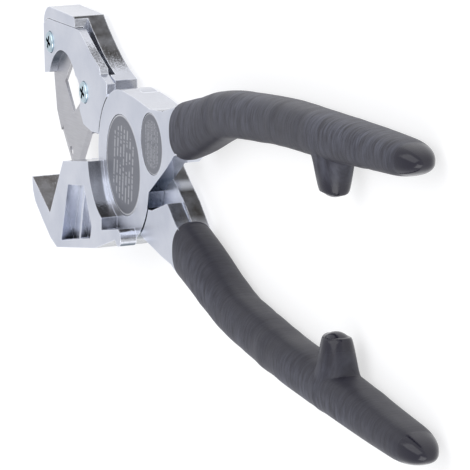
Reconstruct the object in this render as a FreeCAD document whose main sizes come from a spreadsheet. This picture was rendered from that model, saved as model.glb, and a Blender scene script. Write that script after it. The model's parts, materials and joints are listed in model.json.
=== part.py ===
import FreeCAD, Part
import Sketcher
import math
import os

# Plier-type hose cutter: two crossed castings on one pivot, with a blade jaw and a V cradle.
#
# Millimetres. While the pieces are built the pivot axis is the Z axis, the jaws point along +X, the
# blade jaw lies toward -Y and the cradle toward +Y, and Z = 0 is the middle of the blade. "Rise" is the
# distance from the tool's centre line toward the blade jaw, so y = -rise. At the end every piece is
# placed so that the origin is under the middle of the tool, on the face that the tool lies on.

os.makedirs("parts", exist_ok=True)
doc = FreeCAD.newDocument("HoseCutter")
sheet = doc.addObject("Spreadsheet::Sheet", "Sizes")

SIZES = [
    # castings
    ("hub_radius", 22.3), ("hub_clearance", 0.4), ("body_thickness", 9.8), ("near_plate", 4.85),
    ("lap_gap", 0.1), ("neck_step", 0.3), ("jaw_reach", 72.4), ("jaw_rise", 39.5),
    ("arch_radius", 14.2), ("rim_height", 3.7), ("nose_relief", 3.4),
    # cradle
    ("cradle_reach", 73.2), ("cradle_width", 16.6), ("vee_depth", 23.3), ("vee_from_front", 16.8),
    ("cradle_floor", 9.7), ("cradle_wall_radius", 17.8), ("rear_arm_top", 4.7), ("slot_width", 1.8),
    ("slot_below_vee", 5.2), ("pocket_depth", 4.0), ("ridge_height", 2.4),
    # blade and its clamp
    ("blade_thickness", 1.0), ("clamp_thickness", 2.8), ("clamp_gap", 0.15), ("blade_tip_drop", 13.6),
    ("bevel_width", 2.6), ("screw_diameter", 4.0), ("screw_hole_gap", 0.1), ("screw_head", 6.6),
    ("screw_head_height", 2.1), ("screw_head_sunk", 1.5), ("groove_width", 1.6), ("screw_bite", 4.6),
    ("recess_width", 1.1), ("recess_length", 4.2), ("recess_depth", 1.2),
    # pivot
    ("pivot_diameter", 8.0), ("bush_wall", 1.0), ("fit_gap", 0.04), ("bolt_head", 17.0),
    ("bolt_head_height", 1.6), ("label_seat", 0.5), ("thrust_width", 15.0), ("thrust_thickness", 0.8),
    ("nut_across", 12.0), ("nut_height", 2.7), ("nut_seat", 1.8), ("washer_thickness", 0.6),
    ("washer_diameter", 13.4), ("nut_pocket", 14.6),
    # labels
    ("label_thickness", 0.4), ("hub_label_diameter", 30.0), ("notice_label_diameter", 18.0),
    ("notice_label_back", 25.5), ("notice_label_rise", 10.0),
    # handles
    ("handle_reach", 209.0), ("grip_start", 44.0), ("grip_width", 13.3), ("grip_wall", 1.6),
    ("core_width", 6.8), ("neck_in_grip", 2.0),
    ("handle_tilt", 1.15), ("stop_back", 151.0), ("stop_rise", 17.5),
]
for row, (alias, value) in enumerate(SIZES, start=1):
    sheet.set(f"A{row}", alias)
    sheet.set(f"B{row}", str(value))
    sheet.setAlias(f"B{row}", alias)
doc.recompute()


def size(alias):
    """The value of one named size."""
    return float(sheet.get(alias))


# Heights of the flat faces above the middle of the blade.
HALF_BLADE = size("blade_thickness") / 2
NEAR = HALF_BLADE + size("clamp_thickness")
FAR = NEAR - size("body_thickness")
LAP = NEAR - size("near_plate")
CRADLE_NEAR = size("cradle_width") / 2
NECK_NEAR = NEAR - size("neck_step")
MIDDLE = (NEAR + FAR) / 2
HUB_CUT = size("hub_radius") + size("hub_clearance")
TILT = math.tan(math.radians(size("handle_tilt")))


def point(x, rise, z=0.0):
    """A point of the side view: x forward, rise toward the blade jaw."""
    return FreeCAD.Vector(x, -rise, z)


def polar(radius, degrees):
    """The side-view point at an angle from the jaws' direction about the pivot."""
    turn = math.radians(degrees)
    return radius * math.cos(turn), radius * math.sin(turn)


def arc(middle, end):
    """A step of an outline that passes through the middle point to the end point."""
    return ("arc", middle, end)


def curve(points):
    """A step of an outline that follows a smooth curve through the points."""
    return ("curve", points)


def edges_of(outline):
    """Turns a closed list of corners, arcs and curves into sketch geometry."""
    start = outline[0]
    here, made = start, []
    for step in outline[1:] + [start]:
        if step[0] == "arc":
            made.append(Part.Arc(point(*here), point(*step[1]), point(*step[2])))
            here = step[2]
        elif step[0] == "curve":
            spline = Part.BSplineCurve()
            spline.interpolate([point(*here)] + [point(*p) for p in step[1]])
            made.append(spline)
            here = step[1][-1]
        elif math.dist(here, step) > 1e-6:
            made.append(Part.LineSegment(point(*here), point(*step)))
            here = step
    return made


def new_body(label):
    body = doc.addObject("PartDesign::Body", label)
    body.Label = label
    return body


def plane_of(body, role):
    return next(f for f in body.Origin.OriginFeatures if f.Role == role)


def sketch(body, name, height, role="XY_Plane"):
    """A sketch on one of the body's own origin planes, moved along the plane's normal."""
    made = body.newObject("Sketcher::SketchObject", name)
    made.AttachmentSupport = [(plane_of(body, role), "")]
    made.MapMode = "FlatFace"
    made.AttachmentOffset = FreeCAD.Placement(FreeCAD.Vector(0, 0, height), FreeCAD.Rotation())
    return made


def outline_sketch(body, name, height, outline):
    made = sketch(body, name, height)
    made.addGeometry(edges_of(outline), False)
    return made


def circle_sketch(body, name, height, centre, diameter):
    """A sketch of one circle, whose diameter is an expression of the sheet's sizes."""
    made = sketch(body, name, height)
    made.addGeometry(Part.Circle(point(*centre), FreeCAD.Vector(0, 0, 1), 1.0), False)
    made.addConstraint(Sketcher.Constraint("Diameter", 0, 2.0))
    made.renameConstraint(0, "width")
    made.setExpression("Constraints.width", diameter)
    return made


def pad(body, profile, length):
    """Adds the profile upward from its height; length is a number or an expression."""
    feature = body.newObject("PartDesign::Pad", profile.Name + "Pad")
    feature.Profile = profile
    if isinstance(length, str):
        feature.setExpression("Length", length)
    else:
        feature.Length = length
    return feature


def pocket(body, profile, length):
    """Removes the profile downward from its height."""
    feature = body.newObject("PartDesign::Pocket", profile.Name + "Pocket")
    feature.Profile = profile
    if isinstance(length, str):
        feature.setExpression("Length", length)
    else:
        feature.Length = length
    doc.recompute()
    return feature


# ---------------------------------------------------------------- handles
# Stations of a handle, as its distance behind the pivot, its distance from the middle line between the
# handles and the height of its grip there. The two handles mirror each other about that line.
REACH = size("handle_reach")
START = size("grip_start")
GRIP_STATIONS = [
    (START, 17.0, 17.0), (60.0, 21.6, 15.8), (77.0, 26.8, 13.6), (94.0, 29.3, 12.9),
    (121.0, 31.9, 12.5), (151.0, 33.3, 12.0), (181.0, 35.0, 10.2),
]
END_SHRINK = [(0.955, 7.6, 11.4), (1.0, 4.4, 7.6)]
END_RISE = 36.6


def centre_rise(side, back, offset):
    """Rise of a handle's centre: the middle line falls away slightly behind the pivot."""
    return side * offset - TILT * back


def core_edges(side):
    """The outer and inner edges of a handle, a grip wall inside its grip, from front to back."""
    wall = size("grip_wall")
    outer, inner = [], []
    for back, offset, height in GRIP_STATIONS:
        middle = centre_rise(side, back, offset)
        outer.append((-back, middle + side * (height / 2 - wall)))
        inner.append((-back, middle - side * (height / 2 - wall)))
    return outer, inner


def neck_outline(side, front_first, front_last):
    """A handle's full-thickness neck, which runs a little way into the mouth of its grip."""
    outer, inner = core_edges(side)
    share = size("neck_in_grip") / (GRIP_STATIONS[1][0] - GRIP_STATIONS[0][0])
    ends = [tuple(a + share * (b - a) for a, b in zip(edge[0], edge[1])) for edge in (outer, inner)]
    return front_first + [outer[0], ends[0], ends[1], inner[0]] + front_last


def core_outline(side):
    """The bar inside a grip, narrower than the neck so that the grip closes round it."""
    outer, inner = core_edges(side)
    end = (-(REACH - 3 * size("grip_wall")), centre_rise(side, REACH, END_RISE))
    return [outer[0], curve(outer[1:]), end, inner[-1], curve(inner[-2::-1])]


def handle_core(body, name, side):
    half = size("core_width") / 2
    pad(body, outline_sketch(body, name, MIDDLE - half, core_outline(side)), "Sizes.core_width")


def stop_lug(body, name, side):
    """The metal inside a grip's stop: a tapered tooth on the handle's inner edge."""
    back, wall = size("stop_back"), size("grip_wall")
    tip = centre_rise(side, back, size("stop_rise") + wall)
    root = centre_rise(side, back, 33.0)
    teeth = [(-back - 3.4, root), (-back - 1.2, tip), (-back + 1.2, tip), (-back + 3.4, root)]
    pad(body, outline_sketch(body, name, MIDDLE - 1.4, teeth), 2.8)


# ---------------------------------------------------------------- cradle half
VEE_X = size("cradle_reach") - size("vee_from_front")
VEE = -size("vee_depth")
FLOOR = VEE - size("cradle_floor")
APEX = (size("cradle_reach"), VEE + 8.9)
REAR_ARM = (VEE_X - 14.8, -size("rear_arm_top"))
WALL_R = size("cradle_wall_radius")

anvil = new_body("cradle_handle")
hub = circle_sketch(anvil, "NearHub", LAP, (0, 0), "2 * Sizes.hub_radius")
pad(anvil, hub, "Sizes.near_plate")
neck = neck_outline(
    1,
    [(0, 0), (0, size("hub_radius")), (-11.5, 21.6), (-25.0, 20.0), (-36.0, 20.9)],
    [(-37.5, 4.6), (-29.2, -0.4), polar(HUB_CUT, -168.5)],
)
pad(anvil, outline_sketch(anvil, "Neck", FAR, neck), "Sizes.body_thickness")
handle_core(anvil, "Core", 1)
cradle_front = [
    polar(WALL_R, -4),
    REAR_ARM,
    (VEE_X, VEE),
    APEX,
    (APEX[0] - 0.4, APEX[1] - 4.3),
    (APEX[0] - 2.5, APEX[1] - 7.6),
    (VEE_X + 7.0, VEE - 3.6),
    (VEE_X, VEE - 7.8),
    (VEE_X - 6.0, FLOOR),
    (13.3, FLOOR + 6.2),
    (-5.4, -21.1),
]
wall = [polar(WALL_R, -68), arc(polar(WALL_R, -36), polar(WALL_R, -4))]
ledge_end = [arc((-10.4, -19.6), (-8.4, -17.4)), (6.9, -20.2)]
cheek = outline_sketch(anvil, "Cradle", -CRADLE_NEAR, cradle_front + [(-4.0, -16.0)] + wall)
pad(anvil, cheek, "Sizes.cradle_width / 2 + Sizes.blade_thickness / 2 + Sizes.clamp_thickness")
near_cheek = outline_sketch(anvil, "NearCheek", NEAR, cradle_front + ledge_end + wall)
pad(anvil, near_cheek, CRADLE_NEAR - NEAR)
HUB_ROOM = "2 * (Sizes.hub_radius + Sizes.hub_clearance)"
relief = circle_sketch(anvil, "FarHubRelief", LAP, (0, 0), HUB_ROOM)
pocket(anvil, relief, "Sizes.cradle_width")
sweep_room = [
    (0, 0), polar(HUB_CUT, 150), (-28.8, 8.9), (-38.6, 6.1), (-44.6, 9.6), (-44.6, 0), (-20, -14), (0, -14),
]
pocket(anvil, outline_sketch(anvil, "SweepRoom", LAP, sweep_room), "Sizes.body_thickness")
slot = [
    (34.0, 4.0), (34.0, VEE - 1.0), (47.0, VEE - size("slot_below_vee")),
    (VEE_X + 4.0, VEE - size("slot_below_vee")), (VEE_X + 9.0, VEE + 4.0), (VEE_X + 9.0, 4.0),
]
half_slot = size("slot_width") / 2
pocket(anvil, outline_sketch(anvil, "BladeSlot", half_slot, slot), "Sizes.slot_width")


def cradle_pocket(name, top, reverse):
    """A three-cornered pocket in a cheek of the cradle, with a ridge left standing down its middle."""
    left = [(37.4, -11.3), (26.6, -9.9), (33.0, FLOOR + 5.6), (45.6, FLOOR + 3.0)]
    right = [(25.6, -9.7), (22.2, -9.3), (16.0, -20.8), (17.8, FLOOR + 8.4), (31.6, FLOOR + 5.9)]
    for part_name, corners in (("Front", left), ("Rear", right)):
        profile = outline_sketch(anvil, name + part_name, top, corners)
        feature = pocket(anvil, profile, "Sizes.pocket_depth")
        feature.Reversed = reverse
    profile = outline_sketch(anvil, name + "Ridge", top, [left[1], right[0], right[4], left[2]])
    feature = pocket(anvil, profile, "Sizes.pocket_depth - Sizes.ridge_height")
    feature.Reversed = reverse


cradle_pocket("NearPocket", CRADLE_NEAR, False)
cradle_pocket("FarPocket", -CRADLE_NEAR, True)
stop_lug(anvil, "StopTooth", 1)

# Pivot bores in the near hub: label seat, bolt head seat and the bush's bore.
seat = circle_sketch(anvil, "LabelSeat", NEAR, (0, 0), "Sizes.hub_label_diameter + 0.2")
pocket(anvil, seat, "Sizes.label_seat")
head_seat = circle_sketch(anvil, "HeadSeat", NEAR, (0, 0), "Sizes.bolt_head + 0.4")
pocket(anvil, head_seat, "Sizes.label_seat + Sizes.bolt_head_height")
BOLT_FIT = "Sizes.pivot_diameter + 2 * Sizes.fit_gap"
BUSH_OD = BOLT_FIT + " + 2 * Sizes.bush_wall"
bore = circle_sketch(anvil, "BoltBore", NEAR, (0, 0), BOLT_FIT)
pocket(anvil, bore, "Sizes.near_plate")
notice_at = (-size("notice_label_back"), size("notice_label_rise"))
notice_seat = circle_sketch(anvil, "NoticeSeat", NEAR, notice_at, "Sizes.notice_label_diameter + 0.2")
pocket(anvil, notice_seat, "Sizes.label_seat")

# ---------------------------------------------------------------- blade half
JAW_X = size("jaw_reach")
JAW_TOP = size("jaw_rise")
SEAM = JAW_TOP - size("rim_height")
ARCH = (JAW_X - 18.4, 13.0)
ARCH_R = size("arch_radius")


def on_arch(degrees):
    across, up = polar(ARCH_R, degrees)
    return ARCH[0] + across, ARCH[1] + up


def jaw_underside(hub_gap):
    """The blade jaw's lower edge, from the front leg round the arch to the hub."""
    radius = size("hub_radius") + hub_gap
    return [
        (JAW_X, 18.1), (JAW_X - 4.6, 18.9), arc(on_arch(88), on_arch(146)),
        arc((38.3, 17.2), (39.6, 11.4)), (36.0, 7.0), (28.3, 5.8), polar(radius, 15.5),
        arc(polar(radius, 35), polar(radius, 54)),
    ]


blade_half = new_body("blade_handle")
far_hub = circle_sketch(blade_half, "FarHub", FAR, (0, 0), "2 * Sizes.hub_radius")
far_plate = "Sizes.body_thickness - Sizes.near_plate - Sizes.lap_gap"
pad(blade_half, far_hub, far_plate)
jaw = jaw_underside(size("hub_clearance")) + [
    (13.2, 23.2), curve([(20.0, 25.3), (27.5, 28.9), (34.5, 33.2), (39.3, 36.5), (42.4, 39.1)]),
    (JAW_X - 9.0, JAW_TOP), arc((JAW_X - 2.7, JAW_TOP - 1.8), (JAW_X - 0.4, JAW_TOP - 6.3)),
]
pad(blade_half, outline_sketch(blade_half, "Jaw", FAR, jaw), "Sizes.body_thickness")
web = [(0, 0), (-20.7, 6.0), (-29.0, 0.4), (-38.3, -5.4), (-47.7, -13.4), (-30, -15), (0, -15)]
pad(blade_half, outline_sketch(blade_half, "Web", FAR, web), far_plate)
root = [(0, 0), polar(HUB_CUT - 1, 62), polar(HUB_CUT + 6, 50), polar(HUB_CUT + 6, 20), polar(HUB_CUT, 14)]
pad(blade_half, outline_sketch(blade_half, "JawRoot", FAR, root), far_plate)
neck = neck_outline(
    -1,
    [(-4, -14), (-13.4, -18.9), (-21.9, -20.4), (-30.4, -21.9), (-38.7, -22.9)],
    [(-36.7, -5.6), (-29.8, -7.8), (-23.7, -9.7), (-20.4, -10.0)],
)
pad(blade_half, outline_sketch(blade_half, "Neck", FAR, neck), "Sizes.body_thickness - Sizes.neck_step")
handle_core(blade_half, "Core", -1)
relief = circle_sketch(blade_half, "NearHubRelief", NEAR + 1, (0, 0), HUB_ROOM)
pocket(blade_half, relief, "Sizes.near_plate + Sizes.lap_gap + 1")
stop_lug(blade_half, "StopTooth", -1)


RIM_REAR = JAW_X - 30.8


def clamp_outline(spine, gap):
    """The clamp plate's outline: its spine from the hub to the rim, then a gap below the rim."""
    return jaw_underside(size("hub_clearance") + 0.2) + spine + [
        (RIM_REAR - gap, SEAM - gap), (JAW_X - 9.0, SEAM - gap), (JAW_X - 5.1, SEAM + 0.1 - gap),
        (JAW_X - 0.3, SEAM - 1.8 - gap),
    ]


clamp_bed = clamp_outline([(12.0, 26.0), (RIM_REAR, JAW_TOP + 2.0)], 0.0)
pocket(blade_half, outline_sketch(blade_half, "ClampBed", NEAR + 1, clamp_bed), "Sizes.clamp_thickness + 1")
blade_bed = [
    (JAW_X + 2, 17.0), (JAW_X - 6, 16.0), (JAW_X - 30, 2.0), (28.5, 2.0), (26.0, 14.0), (24.0, 24.0),
    (27.0, 26.8), (RIM_REAR, SEAM - 1.6), (JAW_X + 2, SEAM - 2.0),
]
pocket(blade_half, outline_sketch(blade_half, "BladeBed", HALF_BLADE, blade_bed), "Sizes.blade_thickness")
groove = [
    (17.8, 19.5), (16.6, 30.0), (RIM_REAR, JAW_TOP + 2.0), (RIM_REAR, SEAM - 5.0), (27.5, 24.0),
]
pocket(blade_half, outline_sketch(blade_half, "SpineGroove", HALF_BLADE, groove), "Sizes.groove_width")
nose_far = [
    (JAW_X + 2, 16.0), (JAW_X + 2, 29.0), (JAW_X - 11, 29.0), (JAW_X - 16, 22.0), (JAW_X - 16, 16.0),
]
nose_cut = outline_sketch(blade_half, "NoseRelief", FAR, nose_far)
nose_pocket = pocket(blade_half, nose_cut, "Sizes.nose_relief")
nose_pocket.Reversed = True

SCREW_HOLE = "Sizes.screw_diameter + 2 * Sizes.screw_hole_gap"
SCREWS = {"front_clamp_screw": (JAW_X - 6.3, 28.5), "rear_clamp_screw": (34.4, 17.0)}
for name, place in SCREWS.items():
    thread = circle_sketch(blade_half, name + "Thread", HALF_BLADE, place, SCREW_HOLE)
    pocket(blade_half, thread, "Sizes.blade_thickness + Sizes.body_thickness")
bore = circle_sketch(blade_half, "BushBore", LAP, (0, 0), BUSH_OD)
pocket(blade_half, bore, "Sizes.body_thickness")
thrust_seat = circle_sketch(blade_half, "ThrustSeat", LAP, (0, 0), "Sizes.thrust_width + 0.4")
pocket(blade_half, thrust_seat, "2 * Sizes.lap_gap + Sizes.thrust_thickness")
nut_seat = circle_sketch(blade_half, "NutSeat", FAR, (0, 0), "Sizes.nut_pocket")
nut_pocket = pocket(blade_half, nut_seat, "Sizes.nut_seat")
nut_pocket.Reversed = True

# ---------------------------------------------------------------- clamp plate and blade
clamp = new_body("blade_clamp_plate")
plate_spine = [(12.9, 22.4), (18.8, 24.4), (19.2, 26.2), (27.4, 29.8), (38.2, 35.5)]
plate = outline_sketch(clamp, "Plate", HALF_BLADE, clamp_outline(plate_spine, size("clamp_gap")))
pad(clamp, plate, "Sizes.clamp_thickness")
for name, place in SCREWS.items():
    hole = circle_sketch(clamp, name + "Hole", NEAR, place, SCREW_HOLE)
    pocket(clamp, hole, "Sizes.clamp_thickness")
    sink = circle_sketch(clamp, name + "Sink", NEAR, place, "Sizes.screw_head + 2 * Sizes.screw_hole_gap")
    pocket(clamp, sink, "Sizes.screw_head_sunk")

blade = new_body("blade")
TIP = (VEE_X - 3.7, -size("blade_tip_drop"))
blade_outline = [
    TIP, (JAW_X - 6.4, 0.8), (JAW_X - 2.6, 6.7), (JAW_X - 0.9, 17.6), (JAW_X - 1.2, 30.0),
    (JAW_X - 4.6, 33.4), (JAW_X - 24.0, 33.0), (JAW_X - 24.6, 29.6), (JAW_X - 17.4, 22.5),
    (JAW_X - 11.5, 16.8), (JAW_X - 19.0, 7.8), (44.5, 13.2), (39.0, 21.0), (31.0, 21.6), (28.6, 15.0),
    (31.0, 9.0), (37.0, 3.7),
]
pad(blade, outline_sketch(blade, "Profile", -HALF_BLADE, blade_outline), "Sizes.blade_thickness")
for name, place in SCREWS.items():
    hole = circle_sketch(blade, name + "Hole", HALF_BLADE, place, SCREW_HOLE)
    pocket(blade, hole, "Sizes.blade_thickness")
tip_hole = circle_sketch(blade, "TipHole", HALF_BLADE, (VEE_X + 0.4, -4.6), "0.8 * Sizes.screw_diameter")
pocket(blade, tip_hole, "Sizes.blade_thickness")
doc.recompute()


def bevel_wedge(name, start, end, side):
    """The metal that grinding takes off one face of the blade along a cutting edge."""
    a, b = point(*start), point(*end)
    along = (b - a).normalize()
    inward = FreeCAD.Vector(0, 0, 1).cross(along)
    if inward.dot(point(VEE_X - 4.0, 2.0) - a) < 0:
        inward = inward * -1
    land = side * 0.1 * HALF_BLADE
    up = FreeCAD.Vector(0, 0, side)
    first = a - along * 2.0
    edge = first + FreeCAD.Vector(0, 0, land)
    shoulder = first + inward * size("bevel_width") + up * HALF_BLADE
    slope = (shoulder - edge).normalize()
    low = edge - slope * 0.6
    high = shoulder + slope * 0.6
    corner = low + up * 2.0
    face = Part.Face(Part.makePolygon([low, high, corner, low]))
    wedge = doc.addObject("Part::Feature", name)
    wedge.Shape = face.extrude(b - first)
    return wedge


ground = blade
for edge_name, far_end in (("Rear", (37.0, 3.7)), ("Front", (JAW_X - 6.4, 0.8))):
    for side in (1, -1):
        wedge = bevel_wedge(f"{edge_name}Bevel{'Near' if side > 0 else 'Far'}", TIP, far_end, side)
        cut = doc.addObject("Part::Cut", wedge.Name + "Ground")
        cut.Base, cut.Tool = ground, wedge
        ground = cut
blade.Label = "blade_blank"
ground.Label = "blade"
doc.recompute()


# ---------------------------------------------------------------- screws, pivot, labels
def clamp_screw(name, place):
    """A screw with a sunk, domed head and a cross recess, driven into the far side of the jaw."""
    body = new_body(name)
    low = -HALF_BLADE - size("screw_bite")
    head_base = NEAR - size("screw_head_sunk")
    pad(body, circle_sketch(body, name + "Shank", low, place, "Sizes.screw_diameter"), head_base - low)
    disc = circle_sketch(body, name + "Head", head_base, place, "Sizes.screw_head")
    pad(body, disc, "Sizes.screw_head_height")
    doc.recompute()
    top = head_base + size("screw_head_height")
    rim = [f"Edge{i}" for i, e in enumerate(body.Tip.Shape.Edges, start=1)
           if len(e.Vertexes) == 1 and abs(e.Vertexes[0].Z - top) < 1e-6]
    head = body.Tip
    dome = body.newObject("PartDesign::Fillet", name + "Dome")
    dome.Base = (head, rim)
    dome.setExpression("Radius", "0.26 * Sizes.screw_head_height")
    doc.recompute()
    half, arm = size("recess_width") / 2, size("recess_length") / 2
    x, rise = place
    cross = [
        (-half, -arm), (half, -arm), (half, -half), (arm, -half), (arm, half), (half, half),
        (half, arm), (-half, arm), (-half, half), (-arm, half), (-arm, -half), (-half, -half),
    ]
    turned = [(x + a * 0.92 - b * 0.39, rise + a * 0.39 + b * 0.92) for a, b in cross]
    pocket(body, outline_sketch(body, name + "Recess", top, turned), "Sizes.recess_depth")
    return body


screws = [clamp_screw(name, place) for name, place in SCREWS.items()]


def ring(label, low, outer, inner, thickness):
    """A flat ring about the pivot axis."""
    body = new_body(label)
    pad(body, circle_sketch(body, label + "Rim", low, (0, 0), outer), thickness)
    hole = circle_sketch(body, label + "Bore", low + 40, (0, 0), inner)
    pocket(body, hole, 80)
    return body


HEAD_TOP = NEAR - size("label_seat")
HEAD_BASE = HEAD_TOP - size("bolt_head_height")
NUT_FLOOR = FAR + size("nut_seat")
bolt = new_body("pivot_bolt")
NUT_BASE = NUT_FLOOR - size("lap_gap") - size("washer_thickness") - size("nut_height")
pad(bolt, circle_sketch(bolt, "BoltShank", NUT_BASE, (0, 0), "Sizes.pivot_diameter"), HEAD_BASE - NUT_BASE)
pad(bolt, circle_sketch(bolt, "BoltHead", HEAD_BASE, (0, 0), "Sizes.bolt_head"), "Sizes.bolt_head_height")
THRUST_FLOOR = LAP - 2 * size("lap_gap") - size("thrust_thickness")
bush = ring("pivot_bush", NUT_FLOOR, BUSH_OD, BOLT_FIT, THRUST_FLOOR - NUT_FLOOR)
thrust_base = LAP - size("thrust_thickness")
thrust = ring("thrust_washer", thrust_base, "Sizes.thrust_width", BOLT_FIT, "Sizes.thrust_thickness")
WASHER_BASE = NUT_FLOOR - size("lap_gap") - size("washer_thickness")
washer = ring("nut_washer", WASHER_BASE, "Sizes.washer_diameter", BOLT_FIT, "Sizes.washer_thickness")
nut = new_body("pivot_nut")
corner = size("nut_across") / math.sqrt(3)
hexagon = [polar(corner, 60 * side) for side in range(6)]
pad(nut, outline_sketch(nut, "Hexagon", NUT_BASE, hexagon), "Sizes.nut_height")
nut_bore = circle_sketch(nut, "NutBore", NUT_BASE + size("nut_height"), (0, 0), "Sizes.pivot_diameter")
pocket(nut, nut_bore, "Sizes.nut_height")

hub_label = new_body("hub_label")
disc = circle_sketch(hub_label, "HubDisc", HEAD_TOP, (0, 0), "Sizes.hub_label_diameter")
pad(hub_label, disc, "Sizes.label_thickness")
notice = new_body("notice_label")
disc = circle_sketch(notice, "NoticeDisc", HEAD_TOP, notice_at, "Sizes.notice_label_diameter")
pad(notice, disc, "Sizes.label_thickness")


# ---------------------------------------------------------------- grips
def rounded_section(body, name, back, rise, height, width):
    """A rounded rectangle across the handle, at a distance behind the pivot."""
    made = sketch(body, name, -back, "YZ_Plane")
    r = 0.42 * min(height, width)
    across, up = width / 2, height / 2
    y0, z0 = -rise, MIDDLE
    corners = [(1, 1), (-1, 1), (-1, -1), (1, -1)]
    geometry = []
    for index, (sy, sz) in enumerate(corners):
        ny, nz = corners[(index + 1) % 4]
        cy, cz = y0 + sy * (up - r), z0 + sz * (across - r)
        start = 0 if (sy, sz) == (1, 1) else index * math.pi / 2
        circle = Part.Circle(FreeCAD.Vector(cy, cz, 0), FreeCAD.Vector(0, 0, 1), r)
        geometry.append(Part.ArcOfCircle(circle, start, start + math.pi / 2))
        if index % 2 == 0:
            a = FreeCAD.Vector(cy, cz + sz * r, 0)
            b = FreeCAD.Vector(y0 + ny * (up - r), cz + sz * r, 0)
        else:
            a = FreeCAD.Vector(cy + sy * r, cz, 0)
            b = FreeCAD.Vector(cy + sy * r, z0 + nz * (across - r), 0)
        geometry.append(Part.LineSegment(a, b))
    made.addGeometry(geometry, False)
    return made


def loft(body, name, sections):
    feature = body.newObject("PartDesign::AdditiveLoft", name)
    feature.Profile = sections[0]
    feature.Sections = sections[1:]
    feature.Ruled = False
    return feature


def grip(label, side, casting):
    """A dipped grip: a lofted sleeve with a stop, hollowed by the handle inside it."""
    body = new_body(label + "_form")
    stations = [(back, centre_rise(side, back, offset), height, size("grip_width"))
                for back, offset, height in GRIP_STATIONS]
    stations += [(REACH * share, centre_rise(side, REACH * share, END_RISE), height, width)
                 for share, height, width in END_SHRINK]
    sections = [rounded_section(body, f"{label}{i}", *station) for i, station in enumerate(stations)]
    loft(body, label + "Sleeve", sections)
    back = size("stop_back")
    tip = centre_rise(side, back, size("stop_rise"))
    base = centre_rise(side, back, 31.0)
    stop = new_body(label + "_stop")
    stop_sections = []
    outlines = [(base, 13.0, 9.6), (tip + side * 2.2, 8.6, 7.2), (tip, 5.6, 4.8)]
    for index, (rise, long, wide) in enumerate(outlines):
        made = sketch(stop, f"{label}Stop{index}", rise, "XZ_Plane")
        ellipse = Part.Ellipse(FreeCAD.Vector(-back, MIDDLE, 0), long / 2, wide / 2)
        made.addGeometry(ellipse, False)
        stop_sections.append(made)
    loft(stop, label + "StopLoft", stop_sections)
    doc.recompute()
    whole = doc.addObject("Part::Fuse", label + "_whole")
    whole.Base, whole.Tool = body, stop
    cut = doc.addObject("Part::Cut", label)
    cut.Base, cut.Tool = whole, casting
    cut.Label = label
    doc.recompute()
    return cut


grips = [grip("upper_grip", 1, anvil), grip("lower_grip", -1, blade_half)]

# ---------------------------------------------------------------- checks, placement and files
doc.recompute()
pivot_stack = [bolt, bush, thrust, washer, nut]
pieces = [anvil, blade_half, clamp, ground] + screws + pivot_stack + [hub_label, notice] + grips
for item in doc.Objects:
    if "Invalid" in item.State or "Error" in item.State:
        raise RuntimeError(f"{item.Name} failed: {item.State}")
for piece in pieces:
    if piece.Shape.isNull() or not piece.Shape.isValid() or not piece.Shape.Solids:
        raise RuntimeError(f"{piece.Label} has no valid solid")
bounds = FreeCAD.BoundBox()
for piece in pieces:
    bounds.add(piece.Shape.optimalBoundingBox(False, False))
move = FreeCAD.Vector(-bounds.Center.x, -bounds.Center.y, -bounds.ZMin)
for item in doc.Objects:
    if item.TypeId in ("PartDesign::Body", "Part::Feature"):
        item.Placement = FreeCAD.Placement(move, FreeCAD.Rotation())
doc.recompute()
for piece in pieces:
    piece.Shape.exportStep(f"parts/{piece.Label}.step")
    print(f"{piece.Label}: {len(piece.Shape.Solids)} solid, {piece.Shape.Volume:.0f} mm3")
print("pivot at", [round(v, 3) for v in move], "size", bounds.XLength, bounds.YLength, bounds.ZLength)
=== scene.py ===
"""Hose cutter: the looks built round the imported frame.

Metres, in the frame's own axes: the tool lies on its far side, +X runs toward the jaws, +Z is the pivot's
axis toward the labelled side, and the blade jaw is toward -Y.
"""
import json
import math

import bmesh
import bpy
import numpy as np
from bpy.props import FloatProperty, FloatVectorProperty, PointerProperty
from mathutils import Matrix, Vector


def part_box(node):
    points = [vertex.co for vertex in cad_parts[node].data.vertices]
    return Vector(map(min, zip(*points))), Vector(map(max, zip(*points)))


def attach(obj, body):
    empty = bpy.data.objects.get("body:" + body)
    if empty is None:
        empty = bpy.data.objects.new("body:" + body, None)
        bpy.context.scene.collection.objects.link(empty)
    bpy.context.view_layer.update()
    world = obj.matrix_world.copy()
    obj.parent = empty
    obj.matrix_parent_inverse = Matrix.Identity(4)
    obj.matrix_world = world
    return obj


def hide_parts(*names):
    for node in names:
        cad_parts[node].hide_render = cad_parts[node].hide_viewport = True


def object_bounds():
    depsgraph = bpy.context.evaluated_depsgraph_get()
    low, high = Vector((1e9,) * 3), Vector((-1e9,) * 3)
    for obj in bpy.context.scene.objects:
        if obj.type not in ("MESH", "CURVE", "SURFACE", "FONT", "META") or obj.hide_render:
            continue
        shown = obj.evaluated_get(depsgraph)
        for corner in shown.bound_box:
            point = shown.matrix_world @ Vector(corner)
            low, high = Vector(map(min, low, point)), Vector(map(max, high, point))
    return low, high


bl_info = {
    "name": "Hose cutter",
    "version": (1, 0, 0),
    "blender": (4, 5, 0),
    "location": "View3D > Sidebar > Hose Cutter",
    "description": "Dresses the frame of a plier-type hose cutter: castings, blade, labels and grips",
    "category": "Add Mesh",
}

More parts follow.
